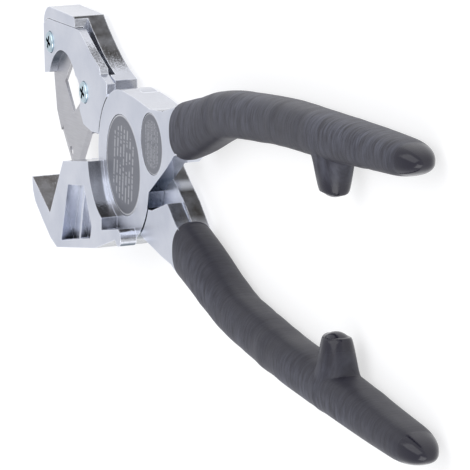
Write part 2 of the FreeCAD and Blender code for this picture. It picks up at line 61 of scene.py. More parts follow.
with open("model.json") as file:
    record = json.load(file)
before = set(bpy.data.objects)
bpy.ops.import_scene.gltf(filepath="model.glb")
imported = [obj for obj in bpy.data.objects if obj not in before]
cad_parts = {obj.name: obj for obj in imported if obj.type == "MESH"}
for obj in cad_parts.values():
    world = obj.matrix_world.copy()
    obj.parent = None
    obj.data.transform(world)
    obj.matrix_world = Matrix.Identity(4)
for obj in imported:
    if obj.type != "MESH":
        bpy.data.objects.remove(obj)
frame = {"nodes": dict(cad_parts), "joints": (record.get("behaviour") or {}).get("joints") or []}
CAD_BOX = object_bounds()
MM = 0.001
PIVOT = Vector(frame["joints"][0]["pos_m"])
GRIP_LOW, GRIP_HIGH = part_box("upper_grip")
GRIP_MIDDLE = (GRIP_LOW.z + GRIP_HIGH.z) / 2

WHITE = (1.0, 1.0, 1.0, 1.0)
NOISE_LOW, NOISE_HIGH = 0.3, 0.7  # the span that most of a noise texture's values lie in
MERGE_DISTANCE = 0.000004
FLAT_ANGLE = math.radians(1.0)  # neighbouring faces closer than this are joined
EDGE_ANGLE = math.radians(28)  # edges sharper than this are rounded


# ---------------------------------------------------------------- settings
class CutterSizes(bpy.types.PropertyGroup):
    """Sizes of the pieces that are shaped here."""

    edge_width: FloatProperty(
        name="Edge width", description="How far the castings' edges are rounded off",
        default=0.45 * MM, unit="LENGTH")
    small_edge_width: FloatProperty(
        name="Small edge width", description="Rounding of the clamp plate, nut and screws",
        default=0.22 * MM, unit="LENGTH")
    grip_start: FloatProperty(
        name="Grip start", description="Distance of a grip's mouth behind the pivot",
        default=44 * MM, unit="LENGTH")
    grip_end: FloatProperty(
        name="Grip end", description="Distance of a grip's tip behind the pivot",
        default=209 * MM, unit="LENGTH")
    grip_width: FloatProperty(
        name="Grip width", description="Width of a grip across the tool's thickness",
        default=13.0 * MM, unit="LENGTH")
    lip_radius: FloatProperty(
        name="Lip radius", description="Rounding of a grip's rolled mouth",
        default=1.5 * MM, unit="LENGTH")
    cap_length: FloatProperty(
        name="Cap length", description="Length over which a grip closes at its end",
        default=15 * MM, unit="LENGTH")
    stop_back: FloatProperty(
        name="Stop place", description="Distance of a grip's stop behind the pivot",
        default=151 * MM, unit="LENGTH")
    stop_rise: FloatProperty(
        name="Stop tip", description="Distance of a stop's tip from the line between the handles",
        default=17.6 * MM, unit="LENGTH")
    handle_tilt: FloatProperty(
        name="Handle tilt", description="Slope of the line between the handles",
        default=math.radians(1.15), subtype="ANGLE")
    wrinkle: FloatProperty(
        name="Wrinkle height", description="Height of the soft rings in the dipped skin",
        default=0.20 * MM, unit="LENGTH")
    hub_label: FloatProperty(
        name="Hub label", description="Diameter of the round label on the hub",
        default=30 * MM, unit="LENGTH")
    notice_label: FloatProperty(
        name="Notice label", description="Diameter of the small label behind the hub",
        default=18 * MM, unit="LENGTH")


class CutterFinish(bpy.types.PropertyGroup):
    """Colours and textures of the finishes."""

    nickel: FloatVectorProperty(
        name="Nickel", description="Satin plating on the castings", subtype="COLOR", size=4,
        default=(0.80, 0.82, 0.88, 1.0), min=0, max=1)
    nickel_shade: FloatVectorProperty(
        name="Nickel shade", description="Cooler patches in the plating", subtype="COLOR", size=4,
        default=(0.66, 0.69, 0.77, 1.0), min=0, max=1)
    # Painted reflection: this dark colour stands in for the dark reflections on the polished walls that face
    # back and up.
    rear_wall_painted_reflection: FloatVectorProperty(
        name="Rear walls", description="Dark mottling of the polished walls that face back and up",
        subtype="COLOR", size=4, default=(0.045, 0.042, 0.040, 1.0), min=0, max=1)
    # Painted reflection: this brown-grey stands in for the dark reflections on the cradle's inner walls.
    cradle_wall_painted_reflection: FloatVectorProperty(
        name="Cradle walls", description="Brown-grey of the cradle's inner walls", subtype="COLOR", size=4,
        default=(0.085, 0.078, 0.074, 1.0), min=0, max=1)
    # Painted shade: this grey darkens the walls on the blade's outer side, where shade falls.
    upper_wall_painted_shade: FloatVectorProperty(
        name="Upper walls", description="Soft grey of the walls on the blade's outer side",
        subtype="COLOR", size=4, default=(0.56, 0.575, 0.63, 1.0), min=0, max=1)
    # Painted shade: this blue-grey darkens the walls that face back and down.
    under_wall_painted_shade: FloatVectorProperty(
        name="Under walls", description="Blue-grey of the walls that face back and down",
        subtype="COLOR", size=4, default=(0.07, 0.10, 0.13, 1.0), min=0, max=1)
    steel: FloatVectorProperty(
        name="Blade steel", description="Ground steel of the blade", subtype="COLOR", size=4,
        default=(0.62, 0.615, 0.635, 1.0), min=0, max=1)
    zinc: FloatVectorProperty(
        name="Zinc", description="Bright zinc of the fasteners", subtype="COLOR", size=4,
        default=(0.60, 0.74, 0.80, 1.0), min=0, max=1)
    bronze: FloatVectorProperty(
        name="Bronze", description="Bush and thrust washer", subtype="COLOR", size=4,
        default=(0.62, 0.43, 0.20, 1.0), min=0, max=1)
    vinyl: FloatVectorProperty(
        name="Vinyl", description="Dark slate skin of the grips", subtype="COLOR", size=4,
        default=(0.015, 0.014, 0.023, 1.0), min=0, max=1)
    # Paler streak colour, partly a real film on the skin and partly painted light: it is kept on the outer
    # sides and faded on the inner sides as painted shade.
    vinyl_bloom_and_side_light: FloatVectorProperty(
        name="Vinyl bloom", description="Paler bloom on the skin's streaks", subtype="COLOR", size=4,
        default=(0.088, 0.092, 0.122, 1.0), min=0, max=1)
    label: FloatVectorProperty(
        name="Label", description="Grey film of the labels", subtype="COLOR", size=4,
        default=(0.125, 0.13, 0.15, 1.0), min=0, max=1)
    label_ink: FloatVectorProperty(
        name="Label ink", description="Pale print on the labels", subtype="COLOR", size=4,
        default=(0.72, 0.73, 0.76, 1.0), min=0, max=1)


class StudioSettings(bpy.types.PropertyGroup):
    """Floor, lights and the camera."""

    floor: FloatVectorProperty(
        name="Floor", description="Pale plain floor", subtype="COLOR", size=4,
        default=(0.45, 0.45, 0.45, 1.0), min=0, max=1)
    floor_glow: FloatProperty(
        name="Floor glow", description="Light from the white table itself", default=0.62)
    key_power: FloatProperty(
        name="Key power", description="Power of the large softbox", default=4.2, unit="POWER")
    fill_power: FloatProperty(
        name="Fill power", description="Power of the side softbox", default=3.5, unit="POWER")
    sky: FloatProperty(
        name="Surroundings", description="Brightness of the white room", default=0.95)
    camera_from_pivot: FloatVectorProperty(
        name="Camera place", description="Camera's place from the pivot", size=3, subtype="TRANSLATION",
        default=(-986.86 * MM, -180.01 * MM, 342.14 * MM), unit="LENGTH")
    aim_from_pivot: FloatVectorProperty(
        name="Camera aim", description="Point the camera looks at, from the pivot", size=3,
        subtype="TRANSLATION", default=(-14.64 * MM, 21.07 * MM, -25.84 * MM), unit="LENGTH")
    camera_roll: FloatProperty(
        name="Camera roll", description="Turn of the camera about its own line of sight",
        default=math.radians(-95.434), subtype="ANGLE")
    lens: FloatProperty(
        name="Lens", description="Focal length on a 36 mm sensor", default=275.7, subtype="DISTANCE_CAMERA")


def sizes():
    """The sizes in the sidebar."""
    return bpy.context.scene.cutter_sizes


def finish():
    """The colours in the sidebar."""
    return bpy.context.scene.cutter_finish


def studio():
    """The floor, lights and camera in the sidebar."""
    return bpy.context.scene.cutter_studio


# ---------------------------------------------------------------- scene and node helpers
def link_to_scene(obj):
    """Puts an object in the scene and hands it back."""
    bpy.context.scene.collection.objects.link(obj)
    return obj


def new_group(name, inputs, outputs):
    """An empty shader node group with named inputs (name, kind, default) and outputs (name, kind)."""
    group = bpy.data.node_groups.new(name, "ShaderNodeTree")
    for label, kind, default in inputs:
        socket = group.interface.new_socket(name=label, in_out="INPUT", socket_type=kind)
        socket.default_value = default
    for label, kind in outputs:
        group.interface.new_socket(name=label, in_out="OUTPUT", socket_type=kind)
    return group, group.nodes.new("NodeGroupInput"), group.nodes.new("NodeGroupOutput")


def fill_inputs(tree, made, values):
    """Links each socket given to a node's input, and sets each plain value there."""
    for key, value in values.items():
        if isinstance(value, bpy.types.NodeSocket):
            tree.links.new(value, made.inputs[key])
        else:
            made.inputs[key].default_value = value
    return made


def node(tree, kind, values=None, **settings):
    """Adds one node, with its settings and the values or links of its inputs."""
    made = tree.nodes.new(kind)
    for key, value in settings.items():
        setattr(made, key, value)
    return fill_inputs(tree, made, values or {})


def maths(tree, operation, a, b=0.0, clamp=False):
    """One sum on one or two values."""
    return node(tree, "ShaderNodeMath", {0: a, 1: b}, operation=operation, use_clamp=clamp).outputs[0]


def scaled(colour, factor):
    """A colour made darker or lighter, opaque and no brighter than white."""
    return tuple(min(1.0, c * factor) for c in colour[:3]) + (1.0,)


def split(tree, vector):
    """The x, y and z of a vector, as sockets."""
    return node(tree, "ShaderNodeSeparateXYZ", {0: vector}).outputs


def blend_colour(tree, share, a, b):
    """Colour a where share is 0, and b where it is 1."""
    return node(tree, "ShaderNodeMix", {0: share, 6: a, 7: b}, data_type="RGBA").outputs[2]


def remap(tree, value, low, high, new_low, new_high):
    """Maps low..high to new_low..new_high and holds the ends."""
    return node(tree, "ShaderNodeMapRange", {
        "Value": value, "From Min": low, "From Max": high, "To Min": new_low, "To Max": new_high,
    }).outputs[0]


def group_in(tree, name, values):
    """Adds one of the shared effects to a material."""
    made = tree.nodes.new("ShaderNodeGroup")
    made.node_tree = bpy.data.node_groups[name]
    return fill_inputs(tree, made, values)


def noise(tree, coordinates, scale, detail=3.0, rough=0.55):
    """Soft random values between 0 and 1."""
    return node(tree, "ShaderNodeTexNoise", {
        "Vector": coordinates, "Scale": scale, "Detail": detail, "Roughness": rough,
    }).outputs["Fac"]


def build_groups():
    """The shared effects: surface grain, drawn streaks, worn edges and painted shade in hollows."""
    tree, inputs, outputs = new_group(
        "surface_grain", [("Coarse", "NodeSocketFloat", 60.0), ("Fine", "NodeSocketFloat", 2500.0)],
        [("Patches", "NodeSocketFloat"), ("Grain", "NodeSocketFloat")])
    place = node(tree, "ShaderNodeTexCoord").outputs["Object"]
    tree.links.new(noise(tree, place, inputs.outputs["Coarse"], 4.0), outputs.inputs["Patches"])
    tree.links.new(noise(tree, place, inputs.outputs["Fine"], 2.0, 0.6), outputs.inputs["Grain"])

    tree, inputs, outputs = new_group(
        "drawn_streaks",
        [("Turn", "NodeSocketVector", (0.0, 0.0, 0.0)), ("Stretch", "NodeSocketVector", (1.0, 1.0, 1.0)),
         ("Scale", "NodeSocketFloat", 100.0)],
        [("Streaks", "NodeSocketFloat")])
    place = node(tree, "ShaderNodeTexCoord").outputs["Object"]
    mapped = node(tree, "ShaderNodeMapping", {
        "Vector": place, "Rotation": inputs.outputs["Turn"], "Scale": inputs.outputs["Stretch"]})
    tree.links.new(noise(tree, mapped.outputs[0], inputs.outputs["Scale"], 5.0, 0.65), outputs.inputs[0])

    tree, inputs, outputs = new_group(
        "worn_edges", [("Radius", "NodeSocketFloat", 0.0005), ("Breakup", "NodeSocketFloat", 400.0)],
        [("Mask", "NodeSocketFloat")])
    rounded = node(tree, "ShaderNodeBevel", {"Radius": inputs.outputs["Radius"]}, samples=4)
    sharp = node(tree, "ShaderNodeNewGeometry").outputs["Normal"]
    alike = node(tree, "ShaderNodeVectorMath", {0: rounded.outputs[0], 1: sharp}, operation="DOT_PRODUCT")
    turned = maths(tree, "SUBTRACT", 1.0, alike.outputs["Value"])
    place = node(tree, "ShaderNodeTexCoord").outputs["Object"]
    patchy = noise(tree, place, inputs.outputs["Breakup"], 3.0)
    strength = remap(tree, patchy, 0.35, 0.65, 2.0, 9.0)
    tree.links.new(maths(tree, "MULTIPLY", turned, strength, clamp=True), outputs.inputs[0])

    # Painted shade: a mask from ambient occlusion that is full in hollows and between parts, where shade
    # falls.
    tree, inputs, outputs = new_group(
        "painted_crevice_shade", [("Reach", "NodeSocketFloat", 0.003)], [("Mask", "NodeSocketFloat")])
    open_sky = node(
        tree, "ShaderNodeAmbientOcclusion", {"Distance": inputs.outputs["Reach"]}, samples=8, only_local=True)
    tree.links.new(remap(tree, open_sky.outputs["AO"], 0.25, 0.62, 1.0, 0.0), outputs.inputs[0])


def new_material(name):
    """A material with its node tree and main shader."""
    material = bpy.data.materials.new(name)
    material.use_nodes = True
    tree = material.node_tree
    return material, tree, tree.nodes["Principled BSDF"]


def bump(tree, height, distance, strength, under=None):
    """A normal bent by a height, over another bent normal if one is given."""
    values = {"Height": height, "Distance": distance, "Strength": strength}
    if under is not None:
        values["Normal"] = under
    return node(tree, "ShaderNodeBump", values).outputs[0]


RAGGED = 0.11  # how far speckles roughen the border of a tone
SOFT_X, SOFT_Y = 8 * MM, 2 * MM  # the distances over which a tone fades outside its area


def span_mask(tree, value, low, high, soft):
    """One between low and high, falling to nought over a soft distance outside them."""
    rising = remap(tree, value, low - soft, low, 0.0, 1.0)
    falling = remap(tree, value, high, high + soft, 1.0, 0.0)
    return maths(tree, "MULTIPLY", rising, falling)


def paint_reflection_and_shade(tree, base, facing, near, tone, area, patches, speckle):
    """Paints dark reflections and shade into the colour of the walls that face one way, with a mottled
    border. It is painted reflection and shade, fixed to the surface, not a real reflection.

    near is the alignment with facing at which the tone starts and is full. area is the ends in x and then in
    y, in millimetres from the pivot, between which the tone is at full strength.
    """
    normal = node(tree, "ShaderNodeTexCoord").outputs["Normal"]
    alike = node(tree, "ShaderNodeVectorMath", {0: normal, 1: facing}, operation="DOT_PRODUCT")
    ragged = maths(tree, "MULTIPLY", maths(tree, "SUBTRACT", speckle, 0.5), RAGGED)
    aligned = maths(tree, "ADD", alike.outputs["Value"], ragged)
    share = remap(tree, aligned, near[0], near[1], 0.0, 1.0)
    broken = remap(tree, patches, 0.35, 0.70, 1.0, 0.80)
    place = node(tree, "ShaderNodeTexCoord").outputs["Object"]
    spot = split(tree, place)
    rear, front, low, high = area
    in_x = span_mask(tree, spot["X"], PIVOT.x + rear * MM, PIVOT.x + front * MM, SOFT_X)
    in_y = span_mask(tree, spot["Y"], PIVOT.y + low * MM, PIVOT.y + high * MM, SOFT_Y)
    inside = maths(tree, "MULTIPLY", in_x, in_y)
    share = maths(tree, "MULTIPLY", maths(tree, "MULTIPLY", share, broken), inside)
    return blend_colour(tree, share, base, tone)


def plated_metal(
        name, colour, shade, face_rough, side_rough, grain=2500.0, bump_height=0.00002, painted_reflections_and_shade=()):
    """Plated casting: satin on the two flat sides, brighter on the walls between them, worn at the edges,
    with painted reflections and shade on chosen walls and painted shade in hollows.
    """
    material, tree, shader = new_material(name)
    texture = group_in(tree, "surface_grain", {"Coarse": 55.0, "Fine": grain})
    worn = group_in(tree, "worn_edges", {"Radius": 0.0006, "Breakup": 500.0})
    patches = remap(tree, texture.outputs["Patches"], 0.35, 0.7, 0.0, 1.0)
    base = blend_colour(tree, patches, colour, shade)
    mottle = group_in(tree, "surface_grain", {"Coarse": 160.0, "Fine": 2600.0})
    # Painted reflections and shade: each tone darkens the walls that face its way, inside its area.
    for facing, near, tone, area in painted_reflections_and_shade:
        base = paint_reflection_and_shade(
            tree, base, facing, near, tone, area, mottle.outputs["Patches"], mottle.outputs["Grain"])
    # Painted shade: the colour darkens towards a deep grey in hollows and between parts.
    crevice_shade = group_in(tree, "painted_crevice_shade", {"Reach": 0.0035})
    crevice_shade_share = maths(tree, "MULTIPLY", crevice_shade.outputs["Mask"], 0.9)
    base = blend_colour(tree, crevice_shade_share, base, scaled(shade, 0.16))
    base = blend_colour(tree, worn.outputs["Mask"], base, scaled(colour, 1.12))
    tree.links.new(base, shader.inputs["Base Color"])
    normal = node(tree, "ShaderNodeNewGeometry").outputs["True Normal"]
    across = split(tree, normal)["Z"]
    flat = remap(tree, maths(tree, "ABSOLUTE", across), 0.5, 0.95, side_rough, face_rough)
    speckle = remap(tree, texture.outputs["Grain"], NOISE_LOW, NOISE_HIGH, -0.05, 0.05)
    rough = maths(tree, "ADD", flat, speckle)
    rough = maths(tree, "SUBTRACT", rough, maths(tree, "MULTIPLY", worn.outputs["Mask"], 0.08))
    tree.links.new(rough, shader.inputs["Roughness"])
    shader.inputs["Metallic"].default_value = 1.0
    soft = bump(tree, texture.outputs["Patches"], 0.0004, 0.25)
    tree.links.new(bump(tree, texture.outputs["Grain"], bump_height, 0.7, soft), shader.inputs["Normal"])
    return material


GRIND_ANGLE = math.radians(38)  # the ground lines' turn about the pivot's axis


def ground_steel(name, colour):
    """Ground blade steel: fine lines across the blade over a soft mottling."""
    material, tree, shader = new_material(name)
    lines = group_in(tree, "drawn_streaks", {
        "Turn": (0.0, 0.0, GRIND_ANGLE), "Stretch": (1.0, 22.0, 1.0), "Scale": 160.0})
    texture = group_in(tree, "surface_grain", {"Coarse": 90.0, "Fine": 2600.0})
    worn = group_in(tree, "worn_edges", {"Radius": 0.0004, "Breakup": 700.0})
    line_share = remap(tree, lines.outputs[0], NOISE_LOW, NOISE_HIGH, 0.0, 1.0)
    base = blend_colour(tree, line_share, scaled(colour, 0.86), colour)
    base = blend_colour(tree, worn.outputs["Mask"], base, (0.86, 0.86, 0.86, 1.0))
    tree.links.new(base, shader.inputs["Base Color"])
    rough = remap(tree, texture.outputs["Patches"], NOISE_LOW, NOISE_HIGH, 0.26, 0.42)
    tree.links.new(rough, shader.inputs["Roughness"])
    shader.inputs["Metallic"].default_value = 1.0
    tree.links.new(bump(tree, lines.outputs[0], 0.00003, 0.6), shader.inputs["Normal"])
    return material


def dipped_vinyl(name, colour, bloom_and_side_light):
    """Dipped grip skin: matte slate, fine streaks round the handle, painted shade on the inner sides and a
    glossier tip.
    """
    material, tree, shader = new_material(name)
    streaks = group_in(tree, "drawn_streaks", {"Stretch": (1.0, 0.2, 0.2), "Scale": 760.0})
    texture = group_in(tree, "surface_grain", {"Coarse": 45.0, "Fine": 3200.0})
    shine = node(tree, "ShaderNodeAttribute", attribute_name="shine").outputs["Fac"]
    share = remap(tree, streaks.outputs[0], 0.36, 0.64, 0.0, 1.0)
    patchy = remap(tree, texture.outputs["Patches"], 0.35, 0.62, 0.35, 1.0)
    share = maths(tree, "MULTIPLY", share, patchy)
    place = node(tree, "ShaderNodeTexCoord")
    side = split(tree, place.outputs["Object"])["Y"]
    slope = split(tree, place.outputs["Normal"])["Y"]
    # Painted shade: the paler streak colour fades on the sides that face in, between the handles, so the
    # inner sides are darker.
    outward_for_painted_shade = maths(tree, "MULTIPLY", maths(tree, "SIGN", side), slope)
    share = maths(tree, "MULTIPLY", share, remap(tree, outward_for_painted_shade, -0.9, 0.6, 0.15, 1.0))
    share = maths(tree, "MULTIPLY", share, maths(tree, "SUBTRACT", 1.0, shine))
    tree.links.new(blend_colour(tree, share, colour, bloom_and_side_light), shader.inputs["Base Color"])
    rough = remap(tree, texture.outputs["Patches"], NOISE_LOW, NOISE_HIGH, 0.44, 0.56)
    rough = maths(tree, "SUBTRACT", rough, maths(tree, "MULTIPLY", shine, 0.32))
    tree.links.new(rough, shader.inputs["Roughness"])
    shader.inputs["Specular IOR Level"].default_value = 0.45
    depth = remap(tree, shine, 0.0, 1.0, 1.0, 0.15)
    height = maths(tree, "MULTIPLY", streaks.outputs[0], depth)
    fine = bump(tree, texture.outputs["Grain"], 0.00002, 0.5)
    tree.links.new(bump(tree, height, 0.00010, 0.9, fine), shader.inputs["Normal"])
    return material


ROW_START = 100.5  # keeps the row numbers positive, with a row's middle on the label's own
PRINT_WIDTH, PRINT_LENGTH = 0.62, 0.78  # shares of the label that the rows of dashes fill
RIM_INNER, RIM_OUTER = 0.955, 0.965  # where the pale rim starts, as shares of the radius


def printed_label(name, centre, diameter, rows, turn):
    """Grey film with a pale rim and rows of small plain dashes across its middle."""
    settings = finish()
    material, tree, shader = new_material(name)
    place = node(tree, "ShaderNodeTexCoord").outputs["Object"]
    mapped = node(tree, "ShaderNodeMapping", {
        "Vector": place, "Location": (-centre[0], -centre[1], 0.0)}, vector_type="POINT")
    turned = node(tree, "ShaderNodeMapping", {"Vector": mapped.outputs[0], "Rotation": (0.0, 0.0, turn)})
    spot = split(tree, turned.outputs[0])
    across, along = spot["X"], spot["Y"]
    across_squared = maths(tree, "MULTIPLY", across, across)
    along_squared = maths(tree, "MULTIPLY", along, along)
    far = maths(tree, "SQRT", maths(tree, "ADD", across_squared, along_squared))
    radius = diameter / 2
    rim = remap(tree, far, radius * RIM_INNER, radius * RIM_OUTER, 0.0, 1.0)
    pitch = PRINT_WIDTH * diameter / rows
    place_in_rows = maths(tree, "ADD", maths(tree, "DIVIDE", across, pitch), ROW_START)
    in_row = maths(tree, "ABSOLUTE", maths(tree, "SUBTRACT", maths(tree, "FRACT", place_in_rows), 0.5))
    row_mask = remap(tree, in_row, 0.15, 0.21, 1.0, 0.0)
    dash_place = node(tree, "ShaderNodeCombineXYZ", {
        "X": maths(tree, "MULTIPLY", maths(tree, "FLOOR", place_in_rows), 7.3),
        "Y": maths(tree, "DIVIDE", along, pitch * 0.34)})
    dashes = remap(tree, noise(tree, dash_place.outputs[0], 1.0, 0.0), 0.40, 0.46, 0.0, 1.0)
    inside_x = maths(tree, "LESS_THAN", maths(tree, "ABSOLUTE", across), pitch * rows / 2)
    length = maths(tree, "SQRT", maths(
        tree, "SUBTRACT", (PRINT_LENGTH * radius) ** 2, across_squared))
    inside_y = maths(tree, "LESS_THAN", maths(tree, "ABSOLUTE", along), length)
    area = maths(tree, "MULTIPLY", inside_x, inside_y)
    print_mask = maths(tree, "MULTIPLY", maths(tree, "MULTIPLY", row_mask, dashes), area)
    texture = group_in(tree, "surface_grain", {"Coarse": 120.0, "Fine": 3000.0})
    film, ink = tuple(settings.label), tuple(settings.label_ink)
    base = blend_colour(tree, texture.outputs["Grain"], film, scaled(film, 1.18))
    base = blend_colour(tree, maths(tree, "MULTIPLY", print_mask, 0.34), base, ink)
    base = blend_colour(tree, maths(tree, "MULTIPLY", rim, 0.55), base, ink)
    tree.links.new(base, shader.inputs["Base Color"])
    rough = remap(tree, texture.outputs["Patches"], NOISE_LOW, NOISE_HIGH, 0.42, 0.52)
    tree.links.new(rough, shader.inputs["Roughness"])
    shader.inputs["Metallic"].default_value = 0.0
    tree.links.new(bump(tree, texture.outputs["Grain"], 0.00001, 0.5), shader.inputs["Normal"])
    return material


def dress(obj, material):
    """Puts one material on every face of an object."""
    obj.data.materials.clear()
    obj.data.materials.append(material)
    return obj


# ---------------------------------------------------------------- mesh helpers
def mesh_object(name, rings, shine=None):
    """A closed skin through rings of points.

    Each ring joins the next, and the first and the last close on a pole. rings is an array of ring, point
    round the ring, and x, y, z.
    """
    count, around = rings.shape[:2]
    poles = np.stack([rings[0].mean(axis=0), rings[-1].mean(axis=0)])
    points = np.concatenate([rings.reshape(-1, 3), poles])
    row, column = np.meshgrid(np.arange(count - 1), np.arange(around), indexing="ij")
    after = (column + 1) % around
    quads = np.stack([
        row * around + column, row * around + after, (row + 1) * around + after,
        (row + 1) * around + column], axis=-1).reshape(-1, 4)
    spoke = np.arange(around)
    turn = (spoke + 1) % around
    first = np.stack([np.full(around, count * around), turn, spoke], axis=-1)
    last_row = (count - 1) * around
    last = np.stack([np.full(around, count * around + 1), last_row + spoke, last_row + turn], axis=-1)
    mesh = bpy.data.meshes.new(name)
    mesh.from_pydata(points.tolist(), [], quads.tolist() + first.tolist() + last.tolist())
    if shine is not None:
        values = np.concatenate([shine.reshape(-1), [shine[0].mean(), shine[-1].mean()]])
        attribute = mesh.attributes.new("shine", "FLOAT", "POINT")
        attribute.data.foreach_set("value", values.astype(np.float32))
    mesh.update()
    tidy = bmesh.new()
    tidy.from_mesh(mesh)
    bmesh.ops.recalc_face_normals(tidy, faces=tidy.faces)
    tidy.to_mesh(mesh)
    tidy.free()
    mesh.polygons.foreach_set("use_smooth", np.ones(len(mesh.polygons), bool))
    return link_to_scene(bpy.data.objects.new(name, mesh))


def softened_copy(cad_name, name, width):
    """A copy of a CAD node with its doubles merged, flat faces joined and edges rounded."""
    source = frame["nodes"][cad_name]
    mesh = source.data.copy()
    mesh.name = name
    work = bmesh.new()
    work.from_mesh(mesh)
    bmesh.ops.remove_doubles(work, verts=work.verts, dist=MERGE_DISTANCE)
    bmesh.ops.dissolve_limit(
        work, angle_limit=FLAT_ANGLE, verts=work.verts, edges=work.edges,
        use_dissolve_boundaries=False)
    work.to_mesh(mesh)
    work.free()
    if mesh.attributes.get("custom_normal"):
        mesh.attributes.remove(mesh.attributes["custom_normal"])
    mesh.polygons.foreach_set("use_smooth", np.ones(len(mesh.polygons), bool))
    mesh.update()
    piece = link_to_scene(bpy.data.objects.new(name, mesh))
    rounding = piece.modifiers.new("rounded edges", "BEVEL")
    rounding.width = width
    rounding.segments = 2
    rounding.limit_method = "ANGLE"
    rounding.angle_limit = EDGE_ANGLE
    rounding.harden_normals = True
    rounding.use_clamp_overlap = True
    return piece


def smooth_through(xs, ys, x):
    """Values at x of the natural cubic spline through the points.

    The second slopes at the points solve one linear system, with none at the two ends.
    """
    xs, ys = np.asarray(xs, float), np.asarray(ys, float)
    step, rise = np.diff(xs), np.diff(ys)
    count = len(xs)
    system, right = np.eye(count), np.zeros(count)
    for i in range(1, count - 1):
        system[i, i - 1:i + 2] = step[i - 1], 2 * (step[i - 1] + step[i]), step[i]
        right[i] = 6 * (rise[i] / step[i] - rise[i - 1] / step[i - 1])
    bend = np.linalg.solve(system, right)
    i = np.clip(np.searchsorted(xs, x) - 1, 0, count - 2)
    a, b, h = xs[i + 1] - x, x - xs[i], step[i]
    return (bend[i] * a ** 3 + bend[i + 1] * b ** 3) / (6 * h) + (
        ys[i] / h - bend[i] * h / 6) * a + (ys[i + 1] / h - bend[i + 1] * h / 6) * b


def step_between(low, high, x):
    """0 below low, 1 above high and a smooth S between them."""
    t = np.clip((x - low) / (high - low), 0, 1)
    return t * t * (3 - 2 * t)


# ---------------------------------------------------------------- castings, blade, fasteners
class HOSECUTTER_OT_castings(bpy.types.Operator):
    """Satin-plated castings of both halves, and the clamp plate, with rounded edges"""

    bl_idname = "hosecutter.castings"
    bl_label = "Castings"

    def execute(self, context):
        look = finish()
        # Painted dark reflections and shade on the walls. Each tone: the way its walls face, the alignment it
        # starts and is full at, its colour, its area.
        painted_reflections_and_shade = (
            ((0.0, -1.0, 0.0), (0.82, 0.97), tuple(look.upper_wall_painted_shade), (-90.0, 90.0, -60.0, 60.0)),
            ((-0.68, -0.73, 0.0), (0.925, 0.965), tuple(look.rear_wall_painted_reflection), (-30.0, 90.0, -60.0, 0.0)),
            ((-0.47, -0.88, 0.0), (0.955, 0.985), tuple(look.cradle_wall_painted_reflection), (-10.0, 90.0, 4.0, 60.0)),
            ((-0.62, -0.78, 0.0), (0.925, 0.965), tuple(look.rear_wall_painted_reflection), (-42.0, -30.0, 3.0, 60.0)),
            ((-1.0, 0.0, 0.0), (0.90, 1.06), tuple(look.rear_wall_painted_reflection), (-30.0, 90.0, -60.0, 60.0)),
            ((-0.51, 0.86, 0.0), (0.86, 0.98), tuple(look.under_wall_painted_shade), (-30.0, 90.0, -60.0, 60.0)),
        )
        plating = plated_metal(
            "satin_nickel", tuple(look.nickel), tuple(look.nickel_shade), 0.34, 0.15, painted_reflections_and_shade=painted_reflections_and_shade)
        for cad_name, body in (("cradle_handle", "cradle_half"), ("blade_handle", "blade_half"),
                               ("blade_clamp_plate", "blade_half")):
            width = sizes().small_edge_width if "plate" in cad_name else sizes().edge_width
            piece = softened_copy(cad_name, cad_name + "_casting", width)
            dress(piece, plating)
            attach(piece, body)
            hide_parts(cad_name)
        return {"FINISHED"}


class HOSECUTTER_OT_blade(bpy.types.Operator):
    """Ground steel blade"""

    bl_idname = "hosecutter.blade"
    bl_label = "Blade"

    def execute(self, context):
        dress(frame["nodes"]["blade"], ground_steel("ground_steel", tuple(finish().steel)))
        return {"FINISHED"}


class HOSECUTTER_OT_fasteners(bpy.types.Operator):
    """Zinc screws, bolt, nut and washer, and the bronze bush and thrust washer"""

    bl_idname = "hosecutter.fasteners"
    bl_label = "Fasteners"

    def execute(self, context):
        look = finish()
        zinc = plated_metal(
            "bright_zinc", tuple(look.zinc), scaled(look.zinc, 0.8), 0.24, 0.2, 3000.0, 0.00001)
        bronze = plated_metal(
            "bearing_bronze", tuple(look.bronze), scaled(look.bronze, 0.7), 0.36, 0.3)
        for name in ("front_clamp_screw", "rear_clamp_screw", "pivot_bolt", "pivot_nut", "nut_washer"):
            dress(frame["nodes"][name], zinc)
        for name in ("pivot_bush", "thrust_washer"):
            dress(frame["nodes"][name], bronze)
        return {"FINISHED"}


# ---------------------------------------------------------------- labels
LABEL_SOFT = 0.3 * MM  # width of a label's rounded rim
TOP_RINGS, UNDER_RINGS = 9, 5


def label_disc(name, centre, diameter, thickness, top):
    """A thin disc with a rounded rim: a profile of radius and height carried round the disc's axis.

    The top falls away along a quarter circle at the rim, and the underside is flat.
    """
    radius, soft = diameter / 2, LABEL_SOFT
    quarter = np.linspace(0, math.pi / 2, 7)
    spread = np.concatenate([
        np.linspace(0.04, 0.98, TOP_RINGS) * (radius - soft), radius - soft + soft * np.sin(quarter),
        [radius], np.linspace(0.96, 0.04, UNDER_RINGS) * radius])
    height = np.concatenate([
        np.full(TOP_RINGS, top), top - soft + soft * np.cos(quarter), [top - thickness],
        np.full(UNDER_RINGS, top - thickness)])
    turn = np.linspace(0, 2 * math.pi, 96, endpoint=False)
    rings = np.stack([
        centre[0] + spread[:, None] * np.cos(turn), centre[1] + spread[:, None] * np.sin(turn),
        np.broadcast_to(height[:, None], (len(height), len(turn)))], axis=-1)
    return mesh_object(name, rings)


